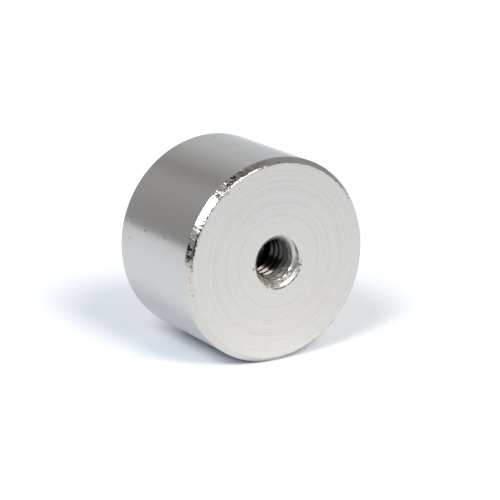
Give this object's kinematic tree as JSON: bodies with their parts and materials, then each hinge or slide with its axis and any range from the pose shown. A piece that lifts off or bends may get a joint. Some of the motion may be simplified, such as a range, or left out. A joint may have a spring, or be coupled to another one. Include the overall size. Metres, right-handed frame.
{
  "type": "threaded pot magnet",
  "caption": "Cylindrical nickel-plated steel pot with a tapped blind hole in its back face and a disc magnet, centred by a brass ring, set in its front.",
  "frame": {"origin": "centre of the magnet face, on the plane of the pot's rim", "axes": "+Z along the pot's axis of rotation, from the magnet face out of the tapped hole; X and Y are any two directions across it, since the part is round"},
  "size_m": [0.025, 0.025, 0.016],
  "materials": {
    "nickel_plated_steel": "turned steel under bright nickel plate: glossy side, satin back face",
    "brass": "turned brass, ground across its open face",
    "nickel_plated_magnet": "sintered magnet under nickel plate, satin"
  },
  "bodies": {
    "root": {"steel_pot": "nickel_plated_steel", "brass_ring": "brass", "disc_magnet": "nickel_plated_magnet"}
  },
  "joints": []
}
